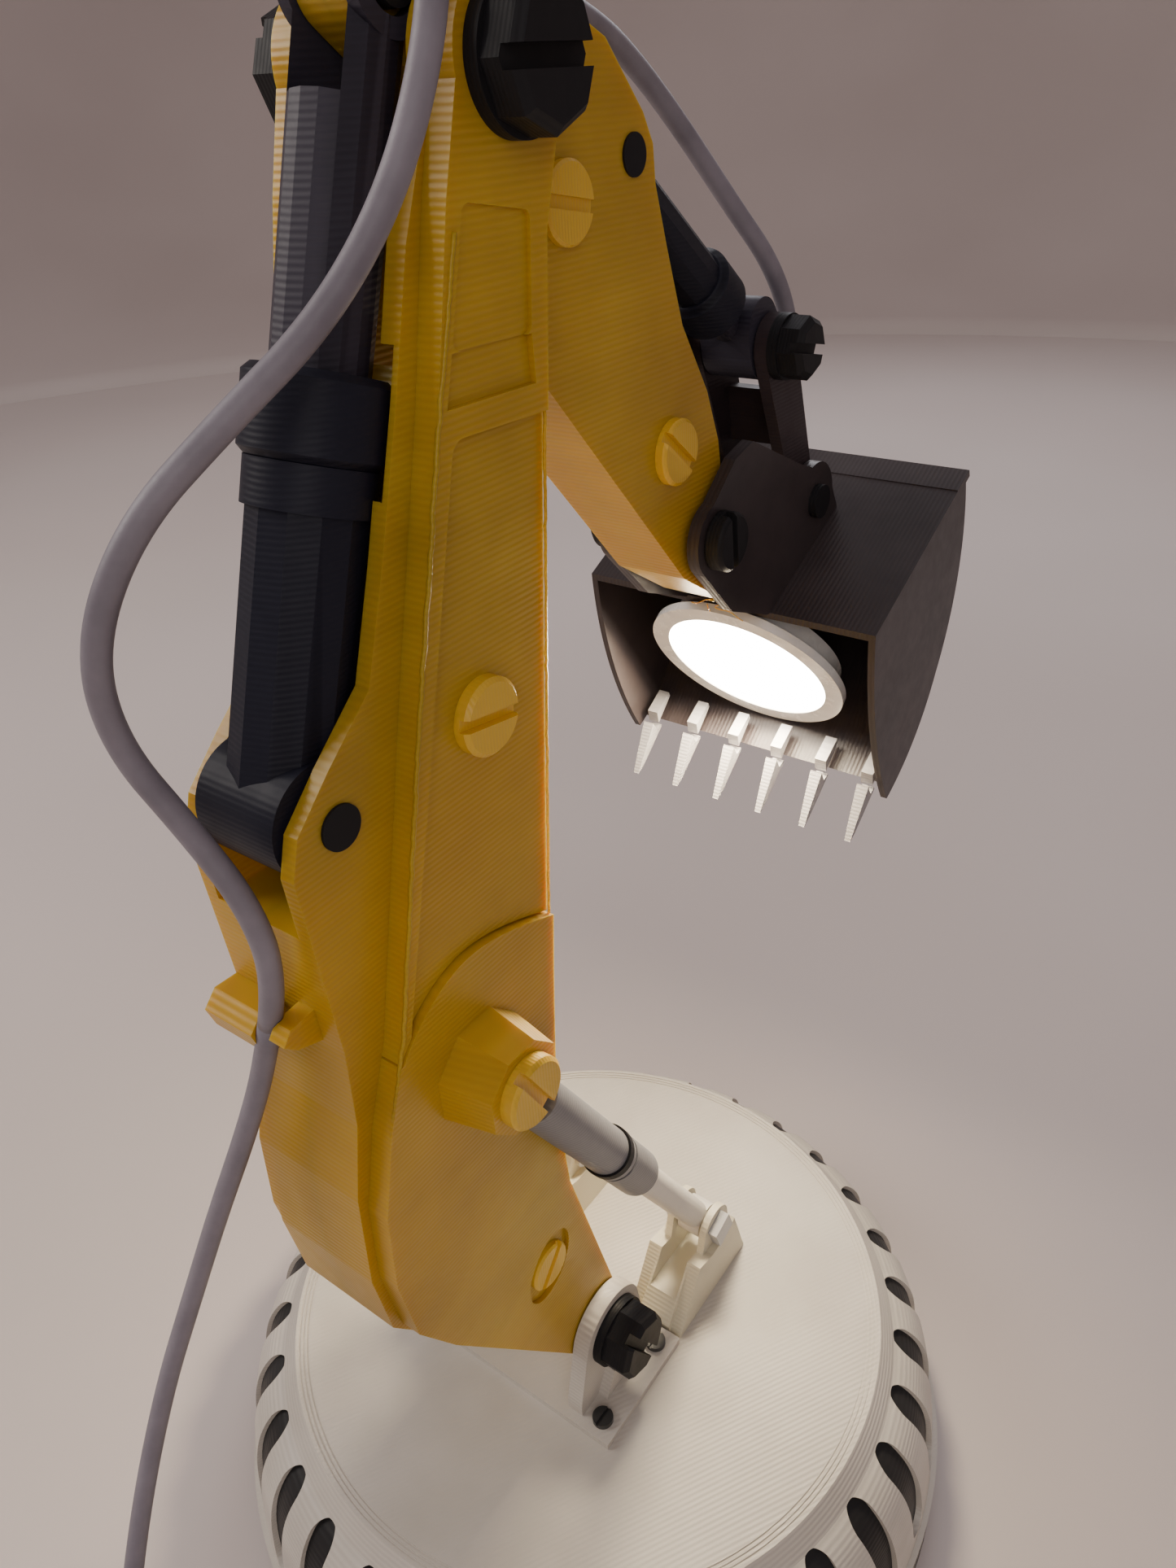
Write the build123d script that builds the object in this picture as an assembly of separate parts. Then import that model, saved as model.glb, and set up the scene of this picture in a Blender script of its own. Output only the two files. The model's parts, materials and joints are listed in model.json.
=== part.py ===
from build123d import *
import math
import os

# Excavator-arm desk lamp kit. Units are mm, +Z is up, +X points from the arm to the bucket.
# The origin is on the desk under the centre of the round base.

# ---- base ---------------------------------------------------------------
DECK = 56.0            # height of the top plate above the desk
DECK_R = 86.0          # radius of the flat top plate
BASE_R = 106.0         # largest radius of the tyre-like base
GROOVES = 34           # slanted tread grooves round the rim
GROOVE_W = 8.2
GROOVE_L = 26.0        # between the centres of a groove's round ends
GROOVE_Z = 33.2        # height of a groove's middle
GROOVE_TILT = 5.0      # degrees off the vertical
SHELL_T = 1.6

# ---- pivots, as (x, z above the top plate) -------------------------------
P_BASE = (-17.5, 21.5)     # boom on the base bracket
P_TOP = (-15.3, 310.0)     # stick on the boom
S_LO = (-66.0, 209.5)      # stick cylinder, barrel end, on the boom's ears
S_HI = (-26.0, 320.2)      # stick cylinder, rod end, on the stick's lug
B_HI = (-48.0, 144.5)      # boom cylinders, barrel end, in the boom's bosses
B_LO = (24.5, 22.5)        # boom cylinders, rod end, in the clevises
K_HI = (27.7, 295.2)       # bucket cylinder, barrel end, on the stick
P_LINK = (84.0, 253.0)     # rod end, rocker and H link meet here
P_ROCK = (39.5, 240.5)     # rocker on the stick
P_EAR = (100.0, 213.0)     # H link on the bucket
P_BUCKET = (51.0, 218.5)   # bucket on the stick

# ---- half widths and thicknesses across the arm ---------------------------
BOOM_CORE_Y = 13.0     # outer face of the boom's two core halves
PANEL_Y = 17.6         # outer face of the side panels
COVER_Y = 18.0         # outer face of the lower covers
CHANNEL_Y = 10.0       # half width of the slot for the stick cylinder
FORK_Y = 9.3           # half width of the fork for the stick
STICK_Y = 8.8
CYL_Y = 24.0           # mid plane of each boom cylinder
BOSS_Y = 29.3
EAR_IN = 18.4          # bracket ears
EAR_OUT = 23.0
BUCKET_Y = 41.5
BUCKET_T = 1.8
RUN = 0.06             # radial running clearance of the hinge pins
PLAY = 0.9             # radial play where a linkage's last pin is loose
CABLE_D = 4.2

os.makedirs("parts", exist_ok=True)


def up(points):
    """Lift (x, z above the top plate) points to heights above the desk."""
    return [(x, z + DECK) for x, z in points]


def slab(sketch, y0, y1):
    """Extrude a sketch drawn in (x, z) from y0 to y1."""
    plane = Plane(origin=(0, y1, 0), x_dir=(1, 0, 0), z_dir=(0, -1, 0))
    return extrude(plane * sketch, amount=y1 - y0)


def outline(points):
    return make_face(Polyline(*up(points), close=True))


def disc(pivot, radius):
    return Pos(pivot[0], pivot[1] + DECK) * Circle(radius)


def rod(pivot, radius, y0, y1):
    return slab(disc(pivot, radius), y0, y1)


def hull(a, ra, b, rb):
    """Two discs joined by their outer tangents, drawn in (x, z)."""
    return make_hull((disc(a, ra) + disc(b, rb)).edges())


def mirror_y(shape):
    return mirror(shape, about=Plane.XZ)


def unit(a, b):
    length = math.dist(a, b)
    return (b[0] - a[0]) / length, (b[1] - a[1]) / length


def along(a, b, s, y=0.0):
    """Plane at distance s from a towards b; its z axis runs along the cylinder."""
    dx, dz = unit(a, b)
    return Plane(origin=(a[0] + dx * s, y, a[1] + DECK + dz * s),
                 x_dir=(0, 1, 0), z_dir=(dx, 0, dz))


def barrel_piece(a, b, s0, s1, radius, y=0.0):
    return extrude(along(a, b, s0, y) * Circle(radius), amount=s1 - s0)


def fluted_piece(a, b, s0, s1, radius, sides, y=0.0):
    return extrude(along(a, b, s0, y) * RegularPolygon(radius, sides), amount=s1 - s0)


def slot_cut(pivot, y_face, width, depth, length, angle):
    """Screwdriver slot cut into a head's outer face."""
    box = Box(length, 2 * depth, width)
    return Pos(pivot[0], y_face, pivot[1] + DECK) * Rot(0, angle, 0) * box


def save(name, shape):
    export_step(shape, f"parts/{name}.step")


def group(*shapes):
    return Compound(children=list(shapes))


# ---------------------------------------------------------------- base
def shell_profile(offset):
    """Half section of the base: flat top, rounded shoulder, bulging wall."""
    r = DECK_R
    a = (r - offset * 0.6, DECK - offset)
    b = (1.05 * r - offset * 0.8, DECK - 0.07 * r - offset * 0.5)
    c = (1.15 * r - offset * 0.9, DECK - 0.17 * r)
    d = (1.2 * r - offset, DECK - 0.35 * r)
    e = (BASE_R - offset, 6.0)
    return a, b, c, d, e


def base_body(offset, z0):
    a, b, c, d, e = shell_profile(offset)
    curve = Line((0, a[1]), a) + Line(a, b) + Spline(b, c, d, e)
    curve += Line(e, (e[0], z0)) + Line((e[0], z0), (0, z0)) + Line((0, z0), (0, a[1]))
    face = make_face(Plane.XZ * curve)
    return revolve(face, axis=Axis.Z)


def groove_cutters(depth):
    """Rounded-end slots round the rim, leaning a few degrees off the vertical."""
    cutters = []
    tool = Box(depth, GROOVE_W, GROOVE_L)
    for end in (-1, 1):
        tool = tool + Pos(0, 0, end * GROOVE_L / 2) * Rot(0, 90, 0) * Cylinder(GROOVE_W / 2, depth)
    tool = Pos(BASE_R - depth / 2 + 2.0, 0, GROOVE_Z) * Rot(GROOVE_TILT, 0, 0) * tool
    for i in range(GROOVES):
        cutters.append(Rot(0, 0, 360.0 / GROOVES * i) * tool)
    return cutters


def make_base():
    outer = base_body(0.0, 14.0)
    inner = base_body(SHELL_T, 13.0)
    shell = outer - inner - groove_cutters(20.0)
    for r in (DECK_R - 1.0, DECK_R - 2.1, DECK_R - 3.2):
        shell = shell - Pos(0, 0, DECK) * (Cylinder(r, 0.6) - Cylinder(r - 0.5, 0.6))
    for x, y in deck_screw_spots():
        shell = shell - Pos(x, y, DECK - 2) * Cylinder(1.55, 8)
    save("base_shell", shell)

    carcass = base_body(SHELL_T + 0.05, 3.0) - base_body(SHELL_T + 4.0, 2.0)
    band = Pos(0, 0, 8.4) * (Cylinder(BASE_R, 10.8) - Cylinder(BASE_R - 5, 10.8))
    carcass = carcass + band
    carcass = carcass & Pos(0, 0, 30) * Cylinder(BASE_R + 5, 54)
    for x, y in deck_screw_spots():
        carcass = carcass - Pos(x, y, DECK - 6) * Cylinder(1.55, 20)
    for x, y in floor_screw_spots():
        carcass = carcass + Pos(x, y, 5.0 + 21.5) * Cylinder(5.0, 43.0)
        carcass = carcass - Pos(x, y, 5.0 + 10.0) * Cylinder(1.65, 20.0)
    save("base_carcass", carcass)

    floor = Pos(0, 0, 4.0) * Cylinder(BASE_R - 7.4, 2.0)
    for x, y in floor_screw_spots():
        floor = floor - Pos(x, y, 4) * Cylinder(1.7, 10)
    save("base_floor", floor)
    save("base_ballast", Pos(0, 0, 9.0) * Cylinder(62.0, 8.0))
    save("base_pad", Pos(0, 0, 1.5) * Cylinder(78.0, 3.0))
    screws = []
    for x, y in floor_screw_spots():
        head = Pos(x, y, 2.1) * (Cylinder(3.0, 1.8) - Pos(0, 0, -0.9) * Box(4.5, 0.9, 1.2))
        screws.append(head + Pos(x, y, 9.0) * Cylinder(1.6, 12.0))
    for x, y in deck_screw_spots():
        head = Pos(x, y, DECK + 2.8) * (Cylinder(2.8, 1.6) - Pos(0, 0, 0.8) * Box(6, 0.8, 1.2))
        screws.append(head + Pos(x, y, DECK - 3.0) * Cylinder(1.5, 10.0))
    save("base_screws", group(*screws))


def floor_screw_spots():
    angles = [math.radians(a) for a in (45, 135, 225, 315)]
    return [(84 * math.cos(a), 84 * math.sin(a)) for a in angles]


def deck_screw_spots():
    return [(-31, -28), (-31, 28), (-5, -28), (-5, 28)]


def make_bracket():
    foot = Pos(-18, 0, DECK + 1.0) * Box(36, 66, 2.0)
    ear = hull(P_BASE, 12.0, (-18.0, 4.0), 15.5)
    ear = ear & outline([(-40, 0), (10, 0), (10, 45), (-40, 45)])
    ears = slab(ear, EAR_IN, EAR_OUT) + slab(ear, -EAR_OUT, -EAR_IN)
    wedge = slab(outline([(-26, 2), (-10, 2), (-14, 10), (-22, 10)]), EAR_OUT, EAR_OUT + 3.0)
    bracket = foot + ears + wedge + mirror_y(wedge)
    bracket = bracket - rod(P_BASE, 4.02, -40, 40)
    for x, y in deck_screw_spots():
        bracket = bracket - Pos(x, y, DECK) * Cylinder(1.55, 12)
    save("boom_bracket", bracket)


def slotted_head(pivot, radius, y0, y1, slot_angle):
    """Round head between y0 (seat) and y1 (outer face) with chamfer and slot."""
    lo, hi = min(y0, y1), max(y0, y1)
    head = rod(pivot, radius, lo, hi)
    face = head.faces().sort_by(Axis.Y)[-1 if y1 > y0 else 0]
    head = chamfer(face.edges(), min(0.8, (hi - lo) * 0.3))
    depth = min(2.6, (hi - lo) * 0.6)
    return head - slot_cut(pivot, y1, radius * 0.32, depth, radius * 3, slot_angle)


def faceted_head(pivot, radius, y0, y1, slot_angle):
    """Big knob-like pivot head: flange, eight-sided grip and slot."""
    s = 1 if y1 > y0 else -1
    flange = slab(disc(pivot, radius), *sorted((y0, y0 + s * 2.4)))
    grip = slab(Pos(pivot[0], pivot[1] + DECK) * RegularPolygon(radius * 0.97, 8),
                *sorted((y0 + s * 2.4, y1)))
    face = grip.faces().sort_by(Axis.Y)[-1 if s > 0 else 0]
    grip = chamfer(face.edges(), 1.3)
    return flange + grip - slot_cut(pivot, y1, radius * 0.3, 2.8, radius * 3, slot_angle)


def make_pivot_bolt(name, pivot, seat, length, radius, shaft, angle):
    bolt = faceted_head(pivot, radius, -seat, -seat - length, angle)
    bolt = bolt + rod(pivot, shaft, -seat, seat + length * 0.6)
    nut = faceted_head(pivot, radius, seat, seat + length, angle + 40)
    nut = nut - rod(pivot, shaft, 0, seat + length * 0.6)
    save(name + "_bolt", bolt)
    save(name + "_nut", nut)


def make_clevises():
    side = outline([(1, 0), (38, 0), (31.5, 20), (28, 17), (19, 17), (12, 19)])
    lugs = hull(B_LO, 6.4, (24.0, 12.0), 8.0)
    body = slab(side, -CYL_Y - 8.5, -CYL_Y + 8.5)
    nose = slab(outline([(1, 0), (12, 19), (9.5, 15), (0.4, 3)]), -CYL_Y - 5.0, -CYL_Y + 5.0)
    slot = Pos(B_LO[0], -CYL_Y, DECK + B_LO[1]) * Box(60, 8.6, 26.0)
    body = (body + slab(lugs, -CYL_Y - 6.4, -CYL_Y + 6.4) + nose) - slot
    body = body - rod(B_LO, 2.0, -40, -10)
    window = Pos(8, -CYL_Y, DECK + 13.0) * Box(14, 6.0, 4.0)
    body = body - window
    save("cylinder_clevises", group(body, mirror_y(body)))
    pin = rod(B_LO, 2.0, -CYL_Y - 6.4, -CYL_Y + 9.0)
    head = slab(Pos(B_LO[0], B_LO[1] + DECK) * Rot(0, 0, 20) * Rectangle(7.5, 7.5),
                -CYL_Y - 9.2, -CYL_Y - 6.4)
    clip = slab(disc(B_LO, 4.0) - disc(B_LO, 2.0), -CYL_Y + 6.4, -CYL_Y + 8.0)
    pin = pin + head + clip
    save("clevis_pins", group(pin, mirror_y(pin)))


# ---------------------------------------------------------------- boom
FRONT = [(-9.0, 26.0), (-24.1, 84.8), (-26.6, 112.3), (-23.5, 148.6),
         (-17.2, 212.6), (-12.1, 262.2), (-9.5, 288.0), (-3.6, 307.0)]
CORE_BACK = [(-27.2, 308.0), (-35.5, 289.0), (-41.7, 268.4), (-49.1, 246.3),
             (-55.5, 229.0), (-66.5, 219.6), (-74.4, 212.0), (-76.8, 205.0),
             (-74.6, 167.0), (-75.4, 150.0), (-79.0, 133.0), (-80.2, 110.0),
             (-77.8, 92.0), (-66.7, 75.4), (-25.0, 14.5)]
PANEL_BACK = [(-27.2, 308.0), (-31.5, 294.0), (-37.6, 268.0), (-50.9, 220.5),
              (-65.9, 163.5), (-72.4, 146.7), (-77.1, 129.0), (-78.2, 110.0),
              (-75.5, 91.0), (-66.7, 75.4), (-25.0, 14.5)]
SEAM = [(-66.6, 160.5), (-59.5, 167.3), (-50.5, 171.3), (-35.6, 169.8), (-20.5, 164.0)]
SCREW_HIGH = (-34.5, 215.7)
SCREW_LOW = (-34.4, 64.4)


def boom_outline(back):
    body = outline(FRONT + back)
    return body + disc(P_TOP, 12.0) + disc(P_BASE, 10.0)


def boom_voids():
    """Slots and hollows inside the two core halves."""
    dx, dz = unit(S_LO, S_HI)
    front = (S_LO[0] + 10.8 * dz, S_LO[1] - 10.8 * dx)
    top = (front[0] + dx / dz * (274.0 - front[1]), 274.0)
    channel = outline([(-95, 192.5), (-62, 192.5), (front[0], front[1] - 6.0), top, (-95, 274.0)])
    fork = outline([(-70, 271), (-30, 271), (-4, 250), (25, 250), (25, 345), (-70, 345)])
    web = (front[0] + 3.0, front[1] - 6.0)
    web_top = (top[0] + 1.0, 264.5)
    box = outline([(-27.5, 60), (-30.0, 112), (-27.0, 149), (-20.6, 212), (-17.2, 246),
                   (-31.5, 259.0), web_top, web, (-61.5, 188.5), (-71.3, 188.5),
                   (-71.3, 160), (-75.6, 131), (-76.6, 111), (-74.0, 94),
                   (-62.0, 76.0), (-38, 40)])
    return channel, fork, box


def collar_relief():
    dx, dz = unit(S_LO, S_HI)
    at = (S_LO[0] + dx * 61.0, S_LO[1] + dz * 61.0)
    relief = Pos(at[0], at[1] + DECK) * Rot(0, 0, math.degrees(math.atan2(dz, dx))) * Rectangle(22, 27)
    return relief


def make_boom():
    channel, fork, box = boom_voids()
    core = slab(boom_outline(CORE_BACK), -BOOM_CORE_Y, 0)
    core = core - slab(channel, -CHANNEL_Y, 1) - slab(fork, -FORK_Y, 1)
    hollow = slab(box, -CHANNEL_Y, 1)
    for spot in (SCREW_HIGH, SCREW_LOW, B_HI):
        hollow = hollow - rod(spot, 5.0, -BOOM_CORE_Y, 1)
    core = core - hollow - slab(collar_relief(), -11.9, 1)
    for spot in (SCREW_HIGH, SCREW_LOW, B_HI):
        core = core - rod(spot, 2.5, -BOOM_CORE_Y - 1, 1)
    core = core - rod(P_BASE, 4.0 + RUN, -20, 1) - rod(P_TOP, 3.02, -20, 1)
    core = core - rod(S_LO, 4.02, -20, 1)
    save("boom_core_near", core)
    save("boom_core_far", mirror_y(core))

    full = boom_outline(PANEL_BACK)
    seam = Spline(*up(SEAM))
    frame = Polyline(*up([SEAM[-1], (20, 164.0), (20, 345), (-110, 345), (-110, 160.5), SEAM[0]]))
    above = make_face(seam + frame)
    seam_gap = Pos(0, -0.5) * above
    panel = slab(full & above, -PANEL_Y, -BOOM_CORE_Y)
    pocket = outline([(-66.0, 155.0), (10, 155.0), (10, 261.0), (-35.3, 262.5), (-47.3, 220.5)])
    pocket = slab(fillet(pocket.vertices(), 3.0), -PANEL_Y - 1, -PANEL_Y + 1.3)
    upper = outline([(-33.6, 274.5), (-15.0, 274.0), (-13.4, 291.0), (-28.2, 293.5)])
    upper = slab(fillet(upper.vertices(), 1.5), -PANEL_Y - 1, -PANEL_Y + 0.7)
    step = slab(outline([(-35.9, 267.0), (-14.8, 266.5), (-15.0, 274.0), (-33.6, 274.5)]),
                -PANEL_Y - 1, -PANEL_Y + 1.1)
    panel = panel - pocket - upper - step
    panel = panel - rod(SCREW_HIGH, 2.5, -30, 0) - rod(P_TOP, 3.02, -30, 0)
    save("boom_panel_near", panel)
    save("boom_panel_far", mirror_y(panel))

    cover = slab(full - seam_gap, -COVER_Y, -BOOM_CORE_Y)
    cover = cover - rod(P_BASE, 4.0 + RUN, -30, 0)
    recess = Pos(SCREW_LOW[0], SCREW_LOW[1] + DECK) * Rot(0, 0, 62) * Ellipse(9.8, 7.2)
    cover = cover - slab(recess, -COVER_Y - 1, -COVER_Y + 1.2)
    cover = cover - rod(SCREW_LOW, 2.5, -30, 0)
    boss_plane = Plane(origin=(B_HI[0], -COVER_Y, B_HI[1] + DECK), x_dir=(1, 0, 0), z_dir=(0, -1, 0))
    tip_plane = Plane(origin=(B_HI[0], -BOSS_Y, B_HI[1] + DECK), x_dir=(1, 0, 0), z_dir=(0, -1, 0))
    boss = loft([boss_plane * Rot(0, 0, 22.5) * RegularPolygon(12.4, 8),
                 tip_plane * Rot(0, 0, 22.5) * RegularPolygon(10.2, 8)])
    dx, dz = unit(B_HI, B_LO)
    mouth = outline([(B_HI[0] - 7.2 * dz, B_HI[1] + 7.2 * dx),
                     (B_HI[0] + 7.2 * dz, B_HI[1] - 7.2 * dx),
                     (B_HI[0] + 10.5 * dz + 20 * dx, B_HI[1] - 10.5 * dx + 20 * dz),
                     (B_HI[0] - 10.5 * dz + 20 * dx, B_HI[1] + 10.5 * dx + 20 * dz)])
    eye_room = slab(mouth + disc(B_HI, 7.2), -CYL_Y - 3.4, -CYL_Y + 3.4)
    cover = cover + boss - eye_room - rod(B_HI, 2.5, -40, 0)
    save("boom_cover_near", cover)
    save("boom_cover_far", mirror_y(cover))

    screws = []
    high = slotted_head(SCREW_HIGH, 7.2, -PANEL_Y + 1.3, -PANEL_Y - 1.6, 10)
    screws.append(high + rod(SCREW_HIGH, 2.45, -PANEL_Y + 1.3, -2.0))
    low = slotted_head(SCREW_LOW, 6.2, -COVER_Y + 1.2, -COVER_Y - 0.6, -50)
    screws.append(low + rod(SCREW_LOW, 2.45, -COVER_Y + 1.2, -2.0))
    screws += [mirror_y(s) for s in list(screws)]
    save("boom_screws", group(*screws))
    boss_screw = slotted_head(B_HI, 7.6, -BOSS_Y, -BOSS_Y - 3.3, 62)
    boss_screw = boss_screw + rod(B_HI, 2.45, -BOSS_Y, -2.0)
    save("boss_screws", group(boss_screw, mirror_y(boss_screw)))
    save("stick_cylinder_pin", rod(S_LO, 4.0, -BOOM_CORE_Y - 0.5, BOOM_CORE_Y + 0.5))


def make_boom_cylinder(side):
    y = -CYL_Y
    eye = rod(B_HI, 6.2, y - 3.0, y + 3.0)
    neck = barrel_piece(B_HI, B_LO, 3.0, 14.5, 2.9, y)
    tube = barrel_piece(B_HI, B_LO, 14.0, 60.0, 5.7, y)
    bore = barrel_piece(B_HI, B_LO, 18.0, 90.0, 4.35, y)
    pin = rod(B_HI, 2.45 + RUN, y - 10, y + 10)
    body = eye + neck + tube - bore - pin
    seal = barrel_piece(B_HI, B_LO, 60.0, 62.6, 6.3, y) - bore
    gland = barrel_piece(B_HI, B_LO, 62.6, 83.0, 6.0, y) - bore
    gland = gland - (barrel_piece(B_HI, B_LO, 65.0, 66.0, 7.0, y) - barrel_piece(B_HI, B_LO, 65.0, 66.0, 5.5, y))
    length = math.dist(B_HI, B_LO)
    shaft = barrel_piece(B_HI, B_LO, 50.0, length - 4.5, 4.0, y)
    end = rod(B_LO, 5.2, y - 3.4, y + 3.4)
    shaft = shaft + end - rod(B_LO, 2.0 + PLAY, y - 10, y + 10)
    pieces = {"barrel": body, "seal": seal, "gland": gland, "rod": shaft}
    for key, piece in pieces.items():
        save(f"boom_cylinder_{key}_{side}", piece if side == "near" else mirror_y(piece))


def make_stick_cylinder():
    eye = rod(S_LO, 10.3, -9.2, 9.2)
    body = fluted_piece(S_LO, S_HI, 0.0, 47.0, 9.5, 12) + eye
    bore = barrel_piece(S_LO, S_HI, 14.0, 80.0, 7.85)
    body = body - bore - rod(S_LO, 4.0 + RUN, -12, 12)
    save("stick_cylinder_barrel", body)
    low_ring = barrel_piece(S_LO, S_HI, 47.0, 54.0, 10.2)
    big_ring = barrel_piece(S_LO, S_HI, 54.0, 67.0, 11.2)
    big_ring = chamfer(big_ring.edges().filter_by(GeomType.CIRCLE), 1.2)
    save("stick_cylinder_gland", low_ring + big_ring - bore)
    length = math.dist(S_LO, S_HI)
    shaft = fluted_piece(S_LO, S_HI, 40.0, length, 7.5, 16)
    shaft = shaft + rod(S_HI, 7.6, -7.4, 7.4)
    gap = extrude(along(S_LO, S_HI, length - 15.5) * Rectangle(10.6, 40), amount=40)
    shaft = shaft - gap - rod(S_HI, 4.0 + PLAY, -12, 12)
    tail = extrude(along(S_LO, S_HI, length) * Rectangle(40, 40), amount=40)
    shaft = shaft - (tail - slab(disc(S_HI, 7.6), -12, 12))
    save("stick_cylinder_rod", shaft)


# ---------------------------------------------------------------- stick
STICK = [(62.9, 198.5), (62.0, 208.0), (60.5, 226.0), (58.2, 238.2), (53.3, 249.7),
         (43.6, 264.4), (38.0, 279.7), (34.6, 290.0), (34.0, 296.5), (31.0, 301.5),
         (20.3, 312.5), (6.0, 318.5), (-12.0, 315.5), (-19.8, 312.0), (-20.2, 306.0),
         (-13.5, 276.0), (-2.1, 263.1), (43.7, 211.0)]


def make_stick():
    full = outline(STICK)
    half = slab(full, -STICK_Y, 0)
    hollow = outline([(56.5, 236.0), (51.0, 247.0), (60.0, 262.0), (46.0, 290.0),
                      (31.5, 304.5), (19.0, 303.0), (19.0, 288.0), (6.0, 299.0),
                      (-6.0, 296.0), (-7.5, 276.0), (2.0, 266.5), (44.0, 219.5)])
    half = half - slab(hollow, -6.9, 1)
    half = half + rod(P_ROCK, 5.0, -STICK_Y, 0) + rod(K_HI, 6.0, -STICK_Y, -6.4)
    half = half + rod((6.9, 289.7), 5.0, -STICK_Y, 0)
    lug = slab(hull(P_TOP, 5.0, S_HI, 6.6), -4.9, 0)
    half = half + lug
    fork_sweep = rod(S_HI, 8.5, -20, -4.9)
    half = half - fork_sweep
    half = half - rod(P_TOP, 3.0 + RUN, -20, 1) - rod(S_HI, 4.02, -20, 1)
    half = half - rod(K_HI, 3.52, -20, 1) - rod(P_ROCK, 2.5, -20, 1)
    half = half - rod(P_BUCKET, 3.02, -20, 1) - rod((6.9, 289.7), 2.5, -20, 1)
    save("stick_near", half)
    save("stick_far", mirror_y(half))
    save("stick_lug_pin", rod(S_HI, 4.0, -7.9, 7.9))
    save("bucket_cylinder_pin", rod(K_HI, 3.5, -STICK_Y - 0.4, STICK_Y + 0.4))
    spot = (6.9, 289.7)
    near = slotted_head(spot, 6.6, -STICK_Y, -STICK_Y - 1.6, 10) + rod(spot, 2.45, -STICK_Y, -1.0)
    save("stick_screws", group(near, mirror_y(near)))
    bolt = slotted_head(P_ROCK, 6.8, -STICK_Y, -STICK_Y - 2.4, 40)
    bolt = bolt + rod(P_ROCK, 2.45, -STICK_Y, 14.4)
    cap = rod(P_ROCK, 4.6, 13.5, 15.6) - rod(P_ROCK, 2.45, 13.0, 14.4)
    save("rocker_bolt", bolt + cap)


def make_bucket_cylinder():
    eye = rod(K_HI, 6.2, -5.9, 5.9)
    tube = fluted_piece(K_HI, P_LINK, 0.0, 42.4, 6.2, 12)
    bore = barrel_piece(K_HI, P_LINK, 14.0, 80.0, 4.0)
    body = eye + tube - bore - rod(K_HI, 3.5 + RUN, -12, 12)
    save("bucket_cylinder_barrel", body)
    ring = barrel_piece(K_HI, P_LINK, 42.4, 54.4, 7.9)
    ring = chamfer(ring.edges().filter_by(GeomType.CIRCLE), 1.4) - bore
    save("bucket_cylinder_gland", ring)
    length = math.dist(K_HI, P_LINK)
    shaft = barrel_piece(K_HI, P_LINK, 34.0, length - 5.0, 3.6)
    block = slab(hull(P_LINK, 7.6, (82.0, 257.0), 6.6), -6.4, 6.4)
    save("bucket_cylinder_rod", shaft + block - rod(P_LINK, 3.0 + PLAY + 0.2, -12, 12))


def make_links():
    arm = hull(P_ROCK, 6.0, P_LINK, 6.2)
    rocker = slab(arm, 10.6, 13.2)
    rocker = rocker + rod(P_ROCK, 4.6, STICK_Y + 0.3, 10.6)
    rocker = rocker - rod(P_ROCK, 2.45 + RUN, 0, 20) - rod(P_LINK, 3.0 + RUN, 0, 20)
    save("rocker_link", rocker)
    plate = hull(P_LINK, 7.2, P_EAR, 5.4)
    both = slab(plate, -10.0, -7.0) + slab(plate, 7.0, 10.0)
    web = slab(outline([(92.5, 228.0), (96.2, 228.0), (93.6, 241.5), (89.9, 241.5)]), -7.0, 7.0)
    link = both + web - rod(P_LINK, 3.0, -20, 20) - rod(P_EAR, 2.5 + PLAY, -20, 20)
    save("h_link", link)
    bolt = faceted_head(P_LINK, 7.2, -10.0, -18.2, 12) + rod(P_LINK, 3.0, -10.0, 15.0)
    cap = rod(P_LINK, 4.6, 13.8, 16.4) - rod(P_LINK, 3.0, 13.0, 15.0)
    save("link_bolt", bolt + cap)


# ---------------------------------------------------------------- bucket
GLAND_X = 108.0
A_LIP = (77.0, 191.0)
B_HEEL = (128.5, 215.0)
C_EDGE = (96.0, 134.5)


def bucket_outline(inset, open_mouth):
    t = inset
    a = (A_LIP[0] + (-8 if open_mouth else 0.0), A_LIP[1] - t * 1.12 + (-3.7 if open_mouth else 0.0))
    b = (B_HEEL[0] - t * 1.15, B_HEEL[1] - t * 1.0)
    m1 = (132.6 - t, 190.0)
    e1 = (124.0 - t * 0.82, 161.0 + t * 0.6)
    c = (C_EDGE[0] - t * 0.6 + (-6 if open_mouth else 0.0),
         C_EDGE[1] + t * 0.7 + (-6.4 if open_mouth else 0.0))
    m2 = (112.2 - t * 0.66, 144.9 + t * 0.75)
    pts = [(p[0], p[1] + DECK) for p in (a, b, m1, e1, m2, c)]
    edge = Line(pts[0], pts[1]) + ThreePointArc(pts[1], pts[2], pts[3])
    edge += ThreePointArc(pts[3], pts[4], pts[5])
    if open_mouth:
        edge += Line(pts[5], pts[0])
    else:
        edge += ThreePointArc(pts[5], (80.6, 170.0 + DECK), pts[0])
    return make_face(edge)


def taper_tool(y):
    """Wedge that narrows a tooth towards its tip."""
    lie = Plane(origin=(96.8, y, 140.0 + DECK), x_dir=(-0.543, 0, -0.84), z_dir=(0.84, 0, -0.543))
    wedge = Polygon((-14, -1.7), (4, -1.7), (21, -0.8), (21, 0.8), (4, 1.7), (-14, 1.7), align=None)
    return extrude(lie * wedge, amount=14, both=True)


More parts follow.
